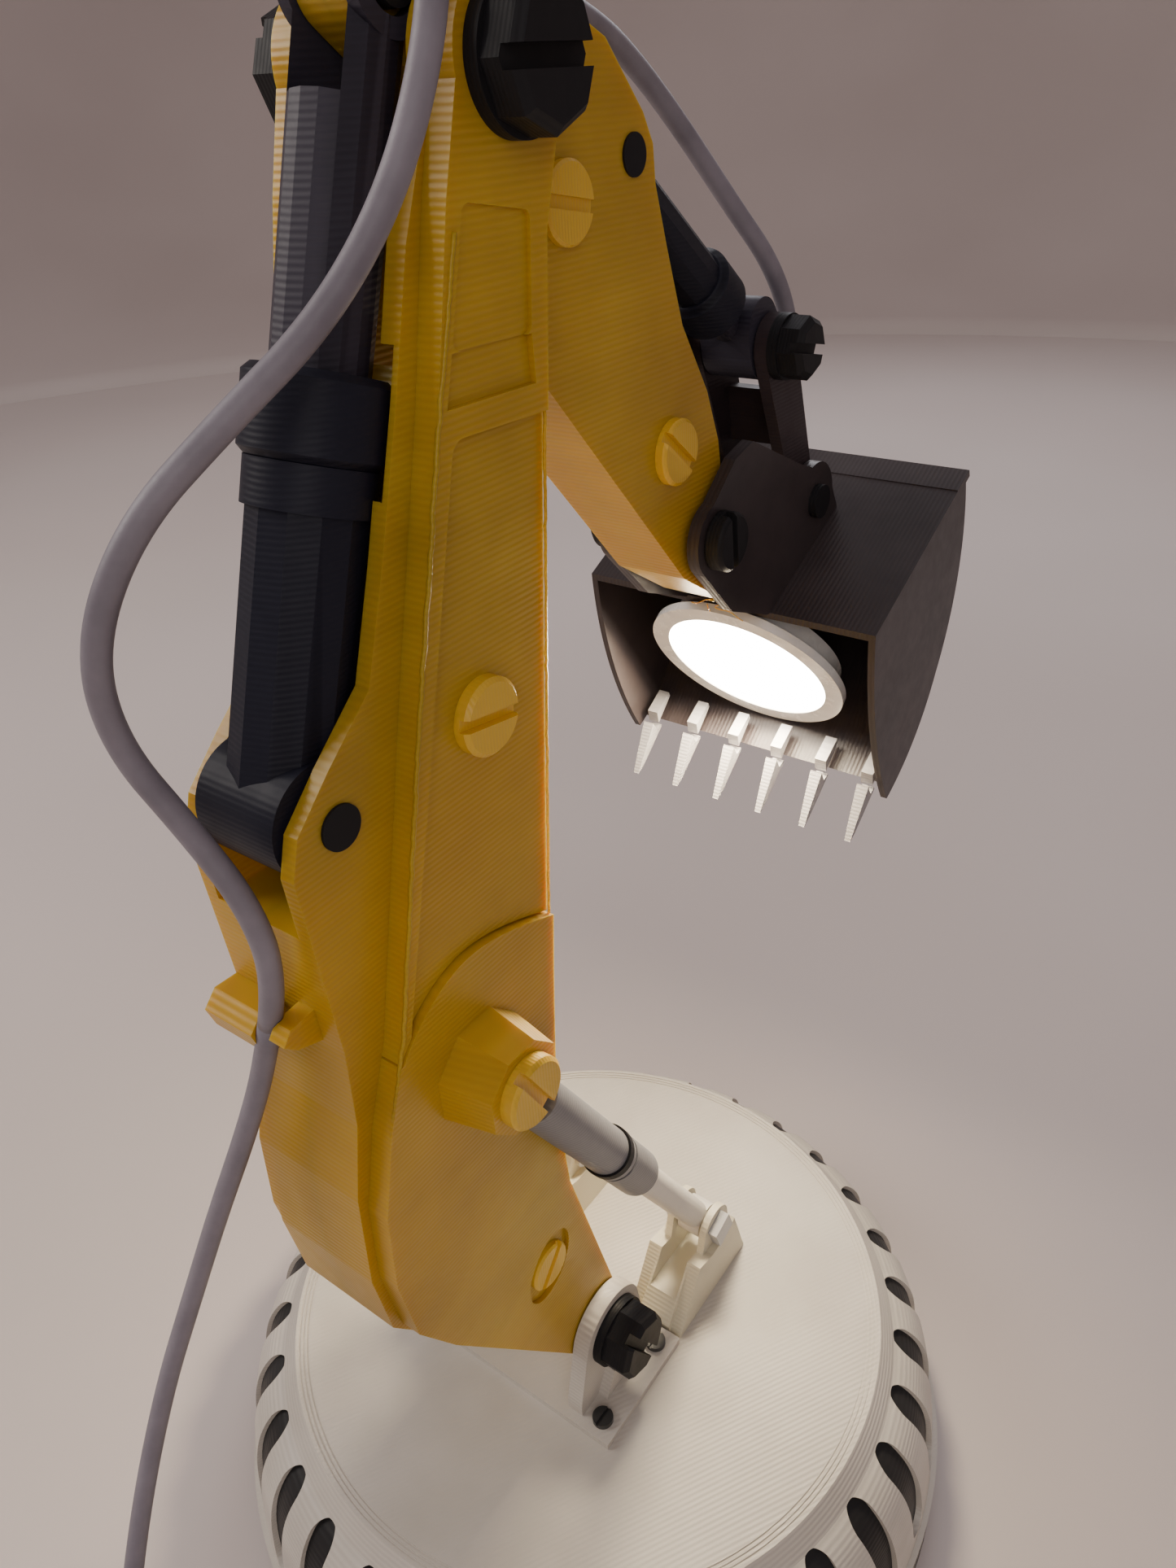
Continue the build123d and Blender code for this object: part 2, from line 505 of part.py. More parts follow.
def make_bucket():
    shell = slab(bucket_outline(0.0, False), -BUCKET_Y, BUCKET_Y)
    shell = shell - slab(bucket_outline(BUCKET_T, True), -BUCKET_Y + BUCKET_T, BUCKET_Y - BUCKET_T)
    rim = outline([(124, 211), (131.4, 214.4), (130.6, 216.2), (123.4, 212.9)])
    shell = shell + slab(rim, -BUCKET_Y, BUCKET_Y)
    shell = shell - Pos(GLAND_X, 0, DECK + 204.0) * Cylinder(3.05, 12)
    save("bucket_shell", shell)

    ear = outline([(45.0, 212.0), (58.0, 198.6), (76.0, 190.9), (77.0, 191.0), (113.0, 207.78),
                   (109.0, 215.0), (100.0, 221.0), (90.0, 225.0), (66.0, 236.5), (58.0, 234.5),
                   (44.0, 223.0)])
    ear = ear + disc(P_BUCKET, 8.8) + disc(P_EAR, 9.6)
    plates_cut = outline([(77.0, 191.0), (128.5, 215.0), (135, 180), (90, 175)])
    ear = ear - plates_cut
    pair = slab(ear, -13.3, -10.4) + slab(ear, 10.4, 13.3)
    pad = outline([(79.5, 192.165), (113.0, 207.775), (112.2, 209.6), (78.7, 193.9)])
    bracket = pair + slab(pad, -13.3, 13.3)
    bracket = bracket - rod(P_BUCKET, 3.0 + RUN, -20, 20) - rod(P_EAR, 2.5, -20, 20)
    bracket = bracket - Pos(GLAND_X, 0, DECK + 204.0) * Cylinder(3.05, 12)
    bracket = bracket - slab(bucket_outline(0.0, False), -20, 20)
    save("bucket_bracket", bracket)

    dome = Pos(GLAND_X, 0, DECK + 206.0) * (Cylinder(5.4, 9.0) + Pos(0, 0, 4.5) * Sphere(5.4))
    keep = slab(outline([(77.0, 191.0), (128.5, 215.0), (120, 240), (70, 216)]), -20, 20)
    dome = (dome & keep) - slab(pad, -13.3, 13.3)
    dome = dome - Pos(GLAND_X, 0, DECK + 212) * Cylinder(CABLE_D / 2 + 0.2, 40)
    save("cable_gland", dome)

    teeth = []
    for i in range(6):
        y = (i - 2.5) * 14.04
        blade = outline([(97.0, 137.3), (99.6, 139.9), (96.8, 143.0), (88.2, 127.5), (86.2, 123.6),
                         (88.8, 125.2), (95.2, 131.6), (98.4, 134.8), (98.0, 136.4)])
        blade = blade - bucket_outline(0.0, False)
        cap = outline([(96.9, 136.75), (103.6, 143.1), (103.0, 144.5), (96.2, 140.5)])
        cap = cap & bucket_outline(BUCKET_T, True)
        tooth = slab(blade, y - 1.7, y + 1.7) + slab(cap, y - 1.7, y + 1.7)
        teeth.append(tooth & taper_tool(y))
    save("bucket_teeth", group(*teeth))

    bolt = slotted_head(P_BUCKET, 6.6, -13.6, -17.6, 84)
    bolt = bolt + rod(P_BUCKET, 3.0, -13.6, 15.4)
    cap = slotted_head(P_BUCKET, 6.6, 13.6, 17.6, 84) - rod(P_BUCKET, 3.0, 13.0, 15.4)
    save("bucket_pivot_bolt", bolt + cap)
    pin = rod(P_EAR, 2.5, -14.9, 14.9)
    pin = pin + rod(P_EAR, 4.2, -15.3, -13.3) + rod(P_EAR, 4.2, 13.3, 15.3)
    save("ear_pin", pin)


PUCK_R = 28.2
PUCK_BACK_R = 24.4
LENS_R = 23.2


def puck_plane(depth):
    """Plane of the lamp puck; depth counts backwards into the bucket."""
    n = (-0.81, 0.0, -0.586)
    at = (89.95 - n[0] * depth, 0.0, 166.65 + DECK - n[2] * depth)
    return Plane(origin=at, x_dir=(0, 1, 0), z_dir=(-n[0], 0, -n[2]))


def make_puck():
    bezel = extrude(puck_plane(0.0) * (Circle(PUCK_R) - Circle(LENS_R + 0.05)), amount=2.4)
    bezel = bezel + extrude(puck_plane(2.4) * (Circle(PUCK_BACK_R) - Circle(LENS_R + 0.2)), amount=6.0)
    bezel = bezel + extrude(puck_plane(6.6) * Circle(PUCK_BACK_R), amount=1.8)
    save("lamp_housing", bezel)
    save("lamp_diffuser", extrude(puck_plane(0.5) * Circle(LENS_R), amount=1.9))


# ---------------------------------------------------------------- cable
# Routes of the cable's three stretches, as (x, y, z above the top plate).
STICK_CLIP = (7.0, -3.0, 324.0)
BOOM_CLIP = (-80.0, -1.7, 173.0)
LAMP_ROUTE = [STICK_CLIP, (20.0, 1.0, 318.5), (33.5, 1.0, 314.0), (46.5, 4.0, 309.5),
              (59.5, 6.0, 303.0), (71.0, 5.0, 293.5), (80.5, 1.0, 281.5), (89.5, -3.5, 270.0),
              (98.0, -4.5, 257.5), (105.0, -2.0, 243.5), (108.0, -0.5, 229.0),
              (GLAND_X, 0.0, 215.0)]
ARM_ROUTE = [STICK_CLIP, (-6.0, -7.0, 329.5), (-18.5, -13.0, 331.0), (-30.0, -19.5, 324.0),
             (-37.0, -22.0, 310.0), (-45.0, -20.5, 295.5), (-55.5, -16.0, 282.5),
             (-68.5, -9.0, 272.0), (-81.0, -2.0, 261.0), (-88.0, 4.0, 245.5),
             (-87.5, 6.2, 229.5), (-83.5, 0.0, 214.5), (-81.0, -6.5, 201.0),
             (-80.0, -7.0, 186.2), BOOM_CLIP]
COIL_AT = (-196.0, 14.0)
COIL_TURN_R = (18.2, 22.4, 26.6)   # radii of the turns beside each other
COIL_LAYER_Z = (2.8, 7.0)          # heights of the two layers above the desk
COIL_H = 9.8
TAIL_L = 20.0
COIL_ENTRY = (COIL_AT[0] + 0.51 * COIL_TURN_R[2], COIL_AT[1] - 0.86 * COIL_TURN_R[2],
              COIL_LAYER_Z[1] - DECK)
DESK_ROUTE = [BOOM_CLIP, (-80.0, 3.6, 159.8), (-84.5, 8.5, 143.5), (-91.0, 16.0, 122.0),
              (-98.5, 23.0, 98.5), (-109.0, 27.5, 75.5), (-124.0, 26.0, 50.5),
              (-139.5, 20.5, 25.0), (-152.5, 12.5, -2.0), (-163.5, 5.0, -27.5),
              (-173.5, -2.5, -44.0), COIL_ENTRY]


def cable_tube(name, route):
    """Tube of straight runs joined by tangent arcs, each as large as its runs allow."""
    points = [Vector(x, y, z + DECK) for x, y, z in route]
    radii = []
    for a, b, c in zip(points, points[1:], points[2:]):
        turn = math.radians((b - a).get_angle(c - b))
        radii.append(0.45 * min((b - a).length, (c - b).length) / math.tan(turn / 2))
    path = FilletPolyline(*points, radius=radii)
    start = Plane(origin=points[0], z_dir=points[1] - points[0])
    tube = sweep(start * Circle(CABLE_D / 2), path=path)
    ideal = path.length * math.pi * CABLE_D ** 2 / 4
    print(name, "length", round(path.length, 1), "volume ratio", round(tube.volume / ideal, 4))
    print("  radii", [round(r, 1) for r in radii])
    return tube


def make_cable():
    x, y = COIL_AT
    bundle = Pos(x, y, COIL_H / 2) * (Cylinder(28.8, COIL_H) - Cylinder(16.0, COIL_H))
    bundle = fillet(bundle.edges(), 1.9)
    tail = Pos(x - COIL_TURN_R[2], y + TAIL_L / 2, COIL_LAYER_Z[0])
    bundle = bundle + tail * Rot(90, 0, 0) * Cylinder(CABLE_D / 2, TAIL_L)
    save("cable_coil", bundle)
    save("cable_lamp", cable_tube("cable_lamp", LAMP_ROUTE))
    save("cable_arm", cable_tube("cable_arm", ARM_ROUTE))
    save("cable_desk", cable_tube("cable_desk", DESK_ROUTE) - bundle)

    px, py = x - COIL_TURN_R[2], y + TAIL_L
    relief = Pos(px, py + 6, COIL_LAYER_Z[0]) * Rot(90, 0, 0) * Cone(2.8, CABLE_D / 2, 12)
    body = Pos(px, py + 12 + 13, 4.0) * Box(15.5, 26.0, 8.0)
    body = fillet(body.edges().filter_by(Axis.Y), 2.4)
    metal = Pos(px, py + 38 + 6, 4.0) * (Box(12.0, 12.0, 4.5) - Pos(0, 1.5, 0.5) * Box(10.8, 12.0, 2.2))
    save("usb_plug", relief + body + metal)


def clip_block(at, toward, core):
    """Block with a hole for the cable, seated on the outline it is cut with."""
    direction = Vector(*toward) - Vector(*at)
    hole = Plane(origin=(at[0], at[1], at[2] + DECK), z_dir=direction)
    bore = extrude(hole * Circle(CABLE_D / 2 + 0.1), amount=12, both=True)
    return core - bore


def make_clips():
    block = Pos(STICK_CLIP[0], STICK_CLIP[1], STICK_CLIP[2] + DECK - 2.0) * Box(7.0, 8.6, 11.0)
    block = fillet(block.edges().filter_by(Axis.Z), 1.2)
    block = clip_block(STICK_CLIP, LAMP_ROUTE[1], block) - slab(outline(STICK), -20, 20)
    save("stick_cable_clip", block)

    far = slab(outline([(-70, 163.0), (-70, 173.5), (-79.8, 174.0), (-82.8, 171.0),
                        (-81.5, 166.5), (-76.0, 163.2)]), 0.6, 12.9)
    near = slab(outline([(-70, 166.5), (-70, 176.0), (-80.5, 175.0), (-82.5, 172.5),
                         (-80.0, 170.0)]), -8.0, -4.2)
    tabs = clip_block(BOOM_CLIP, DESK_ROUTE[1], far + near)
    tabs = tabs - slab(boom_outline(CORE_BACK), -20, 20)
    save("boom_cable_clip", tabs)


make_base()
make_bracket()
make_pivot_bolt("base_pivot", P_BASE, EAR_OUT, 10.5, 9.6, 4.0, 60)
make_clevises()
make_boom()
make_pivot_bolt("top_pivot", P_TOP, PANEL_Y, 8.6, 10.0, 3.0, 0)
make_boom_cylinder("near")
make_boom_cylinder("far")
make_stick_cylinder()
make_stick()
make_bucket_cylinder()
make_links()
make_bucket()
make_puck()
make_cable()
make_clips()
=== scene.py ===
import json
import math
import random

import bmesh
import bpy
from mathutils import Matrix, Vector


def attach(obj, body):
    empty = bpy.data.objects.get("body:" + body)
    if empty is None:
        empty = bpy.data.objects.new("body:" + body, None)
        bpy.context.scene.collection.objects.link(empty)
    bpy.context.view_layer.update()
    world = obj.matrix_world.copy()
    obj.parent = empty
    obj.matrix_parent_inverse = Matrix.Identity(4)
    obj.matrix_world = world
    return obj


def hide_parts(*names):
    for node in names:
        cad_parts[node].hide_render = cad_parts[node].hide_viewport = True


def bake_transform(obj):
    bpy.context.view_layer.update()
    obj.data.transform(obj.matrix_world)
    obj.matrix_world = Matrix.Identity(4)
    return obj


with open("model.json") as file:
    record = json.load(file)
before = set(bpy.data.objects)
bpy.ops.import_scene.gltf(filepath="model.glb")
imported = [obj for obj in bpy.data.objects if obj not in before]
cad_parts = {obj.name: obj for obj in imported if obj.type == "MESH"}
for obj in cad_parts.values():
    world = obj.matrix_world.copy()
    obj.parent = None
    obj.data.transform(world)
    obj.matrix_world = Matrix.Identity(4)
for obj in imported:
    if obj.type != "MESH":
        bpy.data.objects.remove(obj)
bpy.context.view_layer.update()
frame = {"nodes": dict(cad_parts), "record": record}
NODES = frame["nodes"]
SLOTS = {entry["node"]: entry["material_slot"] for entry in frame["record"]["subparts"]}
MM = 0.001
DECK = 56.0            # height of the base's top plate above the desk, in mm


# ---------------------------------------------------------------- camera
CAMERA_AT = (-0.1599, -0.1342, 0.3637)
CAMERA_HEADING = 37.42         # degrees, from the x axis towards y
CAMERA_PITCH = 32.09           # degrees below level
CAMERA_ROLL = 3.38
LENS_MM = 26.0
SENSOR_MM = 36.0


def make_camera():
    heading = math.radians(CAMERA_HEADING)
    pitch = math.radians(CAMERA_PITCH)
    roll = math.radians(CAMERA_ROLL)
    forward = Vector((math.cos(heading) * math.cos(pitch),
                      math.sin(heading) * math.cos(pitch),
                      -math.sin(pitch)))
    right = Matrix.Rotation(roll, 3, forward) @ forward.cross(Vector((0, 0, 1))).normalized()
    up = right.cross(forward)
    data = bpy.data.cameras.new("camera")
    data.sensor_width = SENSOR_MM
    data.lens = LENS_MM
    data.clip_start = 0.01
    camera = bpy.data.objects.new("camera", data)
    bpy.context.collection.objects.link(camera)
    turn = Matrix((right, up, -forward)).transposed().to_4x4()
    camera.matrix_world = Matrix.Translation(CAMERA_AT) @ turn
    bpy.context.scene.camera = camera


# ---------------------------------------------------------------- cable
# Routes are in mm, with z above the base's top plate. The coil's heights are above the desk.
CABLE_D = 4.2
STICK_CLIP = (7.0, -3.0, 324.0)
BOOM_CLIP = (-80.0, -1.7, 173.0)
LAMP_ROUTE = [(108.0, 0.0, 215.0), (108.0, -0.5, 229.0), (105.0, -2.0, 243.5),
              (98.0, -4.5, 257.5), (89.5, -3.5, 270.0), (80.5, 1.0, 281.5), (71.0, 5.0, 293.5),
              (59.5, 6.0, 303.0), (46.5, 4.0, 309.5), (33.5, 1.0, 314.0), (20.0, 1.0, 318.5),
              STICK_CLIP]
ARM_ROUTE = [STICK_CLIP, (-6.0, -7.0, 329.5), (-18.5, -13.0, 331.0), (-30.0, -19.5, 324.0),
             (-37.0, -22.0, 310.0), (-45.0, -20.5, 295.5), (-55.5, -16.0, 282.5),
             (-68.5, -9.0, 272.0), (-81.0, -2.0, 261.0), (-88.0, 4.0, 245.5),
             (-87.5, 6.2, 229.5), (-83.5, 0.0, 214.5), (-81.0, -6.5, 201.0),
             (-80.0, -7.0, 186.2), BOOM_CLIP]
DESK_ROUTE = [BOOM_CLIP, (-80.0, 3.6, 159.8), (-84.5, 8.5, 143.5), (-91.0, 16.0, 122.0),
              (-98.5, 23.0, 98.5), (-109.0, 27.5, 75.5), (-124.0, 26.0, 50.5),
              (-139.5, 20.5, 25.0), (-152.5, 12.5, -2.0), (-163.5, 5.0, -27.5),
              (-173.5, -2.5, -44.0)]
COIL_AT = (-196.0, 14.0)
COIL_R = 26.6
COIL_PITCH = 4.22
COIL_Z = (7.0, 2.8)            # the upper layer, then the lower one
COIL_TURNS = 5.335
COIL_START = math.atan2(-0.86, 0.51)
COIL_CROSSING = 0.6            # turns taken to drop from one layer to the other
COIL_STEPS = 16                # points to a turn
TAIL = (7.0, 14.0, 20.0)
TUBE_SIDES = 20
RUN_STEPS = 10                 # path points to a route point on the hanging runs
DESK_STEPS = 6


def metres(route):
    """A route's points in metres above the desk."""
    return [Vector((x * MM, y * MM, (z + DECK) * MM)) for x, y, z in route]


def coil_points():
    """The put-away turns: in on the upper layer, then out on the lower one."""
    half = COIL_TURNS / 2
    points = []
    steps = round(COIL_TURNS * COIL_STEPS)
    for i in range(steps + 1):
        turn = COIL_TURNS * i / steps
        inward = turn if turn < half else COIL_TURNS - turn
        radius = COIL_R - COIL_PITCH * inward
        drop = min(max((turn - half) / COIL_CROSSING + 0.5, 0.0), 1.0)
        z = COIL_Z[0] + (COIL_Z[1] - COIL_Z[0]) * drop
        angle = COIL_START - 2 * math.pi * turn
        points.append(Vector(((COIL_AT[0] + radius * math.cos(angle)) * MM,
                              (COIL_AT[1] + radius * math.sin(angle)) * MM, z * MM)))
    end = points[-1]
    points += [end + Vector((0, length * MM, 0)) for length in TAIL]
    return points


def smooth_path(points, resolution):
    """Points along the NURBS curve that has the route's points as control points."""
    data = bpy.data.curves.new("route", "CURVE")
    data.dimensions = "3D"
    data.resolution_u = resolution
    spline = data.splines.new("NURBS")
    spline.points.add(len(points) - 1)
    for control, point in zip(spline.points, points):
        control.co = (*point, 1.0)
    spline.order_u = 3
    spline.use_endpoint_u = True
    guide = bpy.data.objects.new("route", data)
    bpy.context.collection.objects.link(guide)
    bpy.context.view_layer.update()
    mesh = bpy.data.meshes.new_from_object(guide)
    path = [v.co.copy() for v in mesh.vertices]
    bpy.data.meshes.remove(mesh)
    bpy.data.objects.remove(guide)
    bpy.data.curves.remove(data)
    return path


def frames_along(path):
    """Each point of a path with two normals that don't spin along it."""
    frames = []
    normal = None
    for i, point in enumerate(path):
        a = path[max(i - 1, 0)]
        b = path[min(i + 1, len(path) - 1)]
        direction = (b - a).normalized()
        if normal is None:
            normal = direction.orthogonal().normalized()
        normal = (normal - direction * normal.dot(direction)).normalized()
        frames.append((point, normal, direction.cross(normal)))
    return frames


def tube(name, path, radius, sides=TUBE_SIDES):
    """A round cord along a path, closed at both ends."""
    mesh = bpy.data.meshes.new(name)
    bm = bmesh.new()
    rings = []
    for point, n, b in frames_along(path):
        ring = []
        for k in range(sides):
            angle = 2 * math.pi * k / sides
            ring.append(bm.verts.new(point + (n * math.cos(angle) + b * math.sin(angle)) * radius))
        rings.append(ring)
    for one, two in zip(rings, rings[1:]):
        for k in range(sides):
            bm.faces.new((one[k], one[(k + 1) % sides], two[(k + 1) % sides], two[k]))
    bm.faces.new(list(reversed(rings[0])))
    bm.faces.new(rings[-1])
    bmesh.ops.recalc_face_normals(bm, faces=bm.faces)
    for face in bm.faces:
        face.smooth = True
    bm.to_mesh(mesh)
    bm.free()
    piece = bpy.data.objects.new(name, mesh)
    bpy.context.collection.objects.link(piece)
    return piece


def make_cables(look):
    """The one cable in three stretches, each a tube along its smoothed route, hiding the cable
    nodes it replaces.
    """
    radius = CABLE_D * MM / 2
    lamp = smooth_path(metres(LAMP_ROUTE), RUN_STEPS)
    arm = smooth_path(metres(ARM_ROUTE), RUN_STEPS)
    desk = smooth_path(metres(DESK_ROUTE) + coil_points(), DESK_STEPS)
    runs = (
        ("lamp_cable", lamp, "cable_lamp", ("bucket", "stick"), (LAMP_ROUTE[1], LAMP_ROUTE[9])),
        ("arm_cable", arm, "cable_arm", ("stick", "boom"), (ARM_ROUTE[0], ARM_ROUTE[4])),
        ("desk_cable", desk, "cable_desk", ("boom", "base"), (DESK_ROUTE[0], DESK_ROUTE[7])),
    )
    for name, path, node, bodies, ends in runs:
        piece = tube(name, path, radius)
        piece.data.materials.append(look)
        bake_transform(piece)
        extra = []
        if node == "cable_desk":
            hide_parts(node, "cable_coil")
            extra = [NODES["usb_plug"], make_tie()]
        else:
            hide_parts(node)


TIE_AT = (COIL_AT[0], COIL_AT[1] - 20.8, 4.9)
TIE_WIDTH = 9.0
TIE_THICK = 0.5
TIE_HALF_Y = 7.6
TIE_HALF_Z = 4.35
TIE_SQUARE = 0.55              # 1 gives an oval loop, less a squarer one
TIE_SIDES = 28


def tie_ring(bm, x, grow):
    """One edge of the strap: a rounded rectangle across the bundle of turns."""
    half_y = (TIE_HALF_Y - TIE_THICK + grow) * MM
    half_z = (TIE_HALF_Z - TIE_THICK + grow) * MM
    ring = []
    for k in range(TIE_SIDES):
        angle = 2 * math.pi * k / TIE_SIDES
        c = math.cos(angle)
        s = math.sin(angle)
        y = math.copysign(abs(c) ** TIE_SQUARE, c) * half_y
        z = math.copysign(abs(s) ** TIE_SQUARE, s) * half_z
        ring.append(bm.verts.new(Vector(TIE_AT) * MM + Vector((x * MM, y, z))))
    return ring


def make_tie():
    """Hook-and-loop strap round the coil's bundle of turns."""
    bm = bmesh.new()
    loops = [tie_ring(bm, side * TIE_WIDTH / 2, grow)
             for side, grow in ((-1, 0.0), (1, 0.0), (1, TIE_THICK), (-1, TIE_THICK))]
    for one, two in zip(loops, loops[1:] + loops[:1]):
        for k in range(TIE_SIDES):
            after = (k + 1) % TIE_SIDES
            bm.faces.new((one[k], one[after], two[after], two[k]))
    bmesh.ops.recalc_face_normals(bm, faces=bm.faces)
    mesh = bpy.data.meshes.new("cable_tie")
    bm.to_mesh(mesh)
    bm.free()
    tie = bpy.data.objects.new("cable_tie", mesh)
    bpy.context.collection.objects.link(tie)
    tie.data.materials.append(LOOKS["pad"])
    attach(tie, "base")
    return tie


# ---------------------------------------------------------------- materials
WAVE_PITCH = 2 * math.pi / 20.0      # distance between a wave texture's bands at scale 1
LEVEL = 0.97                         # faces whose normal's z is above this count as level
EDGE_RANGE = (0.51, 0.56)            # pointiness from a flat face to a clear edge


class Nodes:
    """Short way to write a node tree."""

    def __init__(self, name):
        self.material = bpy.data.materials.new(name)
        self.material.use_nodes = True
        self.tree = self.material.node_tree
        self.shader = self.tree.nodes["Principled BSDF"]
        self.place = self.add("ShaderNodeTexCoord").outputs["Object"]

    def add(self, kind, **values):
        node = self.tree.nodes.new(kind)
        for key, value in values.items():
            setattr(node, key, value)
        return node

    def link(self, a, b):
        self.tree.links.new(a, b)

    def noise(self, scale, detail=3.0, rough=0.5, stretch=(1, 1, 1)):
        mapping = self.add("ShaderNodeMapping")
        mapping.inputs["Scale"].default_value = stretch
        self.link(self.place, mapping.inputs["Vector"])
        node = self.add("ShaderNodeTexNoise")
        node.inputs["Scale"].default_value = scale
        node.inputs["Detail"].default_value = detail
        node.inputs["Roughness"].default_value = rough
        self.link(mapping.outputs["Vector"], node.inputs["Vector"])
        return node.outputs["Fac"]

    def bands(self, pitch, direction, wobble, turn=0.0):
        """Parallel ridges a fixed pitch apart, in mm, turned by some degrees about z."""
        node = self.add("ShaderNodeTexWave")
        node.bands_direction = direction
        node.inputs["Scale"].default_value = WAVE_PITCH / (pitch * MM)
        node.inputs["Distortion"].default_value = wobble
        node.inputs["Detail"].default_value = 1.0
        node.inputs["Detail Scale"].default_value = 1.5
        mapping = self.add("ShaderNodeMapping")
        mapping.inputs["Rotation"].default_value = (0.0, 0.0, math.radians(turn))
        self.link(self.place, mapping.inputs["Vector"])
        self.link(mapping.outputs["Vector"], node.inputs["Vector"])
        return node.outputs["Fac"]

    def facing_up(self):
        """1 on level top faces, 0 on walls."""
        parts = self.add("ShaderNodeSeparateXYZ")
        self.link(self.add("ShaderNodeNewGeometry").outputs["Normal"], parts.inputs[0])
        return self.math("GREATER_THAN", parts.outputs["Z"], LEVEL)

    def ramp(self, value, stops):
        node = self.add("ShaderNodeValToRGB")
        elements = node.color_ramp.elements
        while len(elements) < len(stops):
            elements.new(0.5)
        for element, (position, colour) in zip(elements, stops):
            element.position = position
            element.color = (*colour, 1.0)
        self.link(value, node.inputs["Fac"])
        return node.outputs["Color"]

    def feed(self, value, socket):
        """Give an input a link, a colour or a number."""
        if isinstance(value, bpy.types.NodeSocket):
            self.link(value, socket)
        elif isinstance(value, tuple):
            socket.default_value = (*value, 1.0)
        else:
            socket.default_value = value

    def mix(self, factor, a, b, kind="MIX"):
        node = self.add("ShaderNodeMix", data_type="RGBA", blend_type=kind)
        self.feed(factor, node.inputs[0])
        self.feed(a, node.inputs[6])
        self.feed(b, node.inputs[7])
        return node.outputs[2]

    def math(self, kind, a, b):
        node = self.add("ShaderNodeMath", operation=kind)
        self.feed(a, node.inputs[0])
        self.feed(b, node.inputs[1])
        return node.outputs[0]

    def spread(self, value, low, high):
        """A 0 to 1 value spread over another range."""
        node = self.add("ShaderNodeMapRange")
        node.inputs["To Min"].default_value = low
        node.inputs["To Max"].default_value = high
        self.link(value, node.inputs["Value"])
        return node.outputs["Result"]

    def bump(self, heights):
        """Chain of bumps from (height output, depth in mm) pairs."""
        last = None
        for height, depth in heights:
            node = self.add("ShaderNodeBump")
            node.inputs["Strength"].default_value = 1.0
            node.inputs["Distance"].default_value = depth * MM
            self.link(height, node.inputs["Height"])
            if last:
                self.link(last, node.inputs["Normal"])
            last = node.outputs["Normal"]
        self.link(last, self.shader.inputs["Normal"])

    def edges(self):
        """1 on outward edges, 0 on flat faces."""
        node = self.add("ShaderNodeMapRange")
        node.inputs["From Min"].default_value = EDGE_RANGE[0]
        node.inputs["From Max"].default_value = EDGE_RANGE[1]
        self.link(self.add("ShaderNodeNewGeometry").outputs["Pointiness"], node.inputs["Value"])
        return node.outputs["Result"]


PATCH_SCALE = 14.0             # noise scales are in cells to the metre
FINE_SCALE = 260.0
EDGE_HIGHLIGHT_GAIN = 1.35               # painted highlight: how much lighter an edge is than the face


def printed(name, dark, light, rough, layer, depth, glow=None, coat=0.0, edge_highlight=True, shine=0.4,
            raster=None):
    """Layer-printed plastic: fine ridges, cloudy colour, and edges painted brighter as a highlight.

    layer is the ridges' direction and pitch in mm, and depth their height in mm. glow is the
    colour where light soaks through, and raster the pitch of the lines on level top faces.
    """
    n = Nodes(name)
    cloud = n.noise(PATCH_SCALE, 4.0, 0.6)
    fine = n.noise(FINE_SCALE, 3.0, 0.6)
    colour = n.ramp(cloud, [(0.32, dark), (0.68, light)])
    ridges = n.bands(layer[1], layer[0], 0.25)
    streak = n.noise(90.0, 2.0, 0.5, stretch=(0.12, 0.12, 1.0))
    tone = n.ramp(ridges, [(0.0, (0.9, 0.9, 0.9)), (1.0, (1.06, 1.06, 1.06))])
    colour = n.mix(0.55, colour, tone, "MULTIPLY")
    shade = n.ramp(streak, [(0.35, (0.9, 0.9, 0.9)), (0.65, (1.07, 1.07, 1.07))])
    colour = n.mix(0.6, colour, shade, "MULTIPLY")
    if glow:
        amount = n.spread(n.noise(9.0, 2.0, 0.5), -0.45, 0.75)
        amount = n.math("MAXIMUM", amount, 0.0)
        colour = n.mix(amount, colour, glow)
    # painted highlight: outward edges mixed towards a lighter copy of the light colour, where light
    # would catch them
    if edge_highlight:
        highlight_colour = tuple(min(1.0, c * EDGE_HIGHLIGHT_GAIN + 0.01) for c in light)
        colour = n.mix(n.math("MULTIPLY", n.edges(), 0.55), colour, highlight_colour)
    n.link(colour, n.shader.inputs["Base Color"])
    n.link(n.spread(fine, rough - 0.08, rough + 0.1), n.shader.inputs["Roughness"])
    n.shader.inputs["Specular IOR Level"].default_value = shine
    n.shader.inputs["Coat Weight"].default_value = coat
    n.shader.inputs["Coat Roughness"].default_value = 0.25
    heights = [(ridges, depth), (fine, 0.03), (n.noise(35.0, 2.0, 0.5), 0.25)]
    if raster:
        lines = n.math("MULTIPLY", n.bands(raster, "Y", 0.15, 31.0), n.facing_up())
        heights.append((lines, 0.05))
    n.bump(heights)
    return n


def soak(n, radius):
    """Let light sink in, with a reach for each of red, green and blue."""
    n.shader.inputs["Subsurface Weight"].default_value = 0.25
    n.shader.inputs["Subsurface Radius"].default_value = radius


def yellow_print():
    n = printed("yellow_print", (0.33, 0.205, 0.008), (0.56, 0.37, 0.02), 0.36, ("Z", 1.1), 0.05,
                glow=(0.68, 0.32, 0.01), coat=0.1, edge_highlight=False, shine=0.35)
    soak(n, (0.02, 0.008, 0.001))
    n.shader.inputs["Subsurface Scale"].default_value = 0.4
    return n


def yellow_screw():
    n = printed("yellow_screw", (0.44, 0.25, 0.006), (0.66, 0.42, 0.03), 0.34, ("X", 0.8), 0.03,
                coat=0.15)
    soak(n, (0.01, 0.004, 0.0005))
    return n


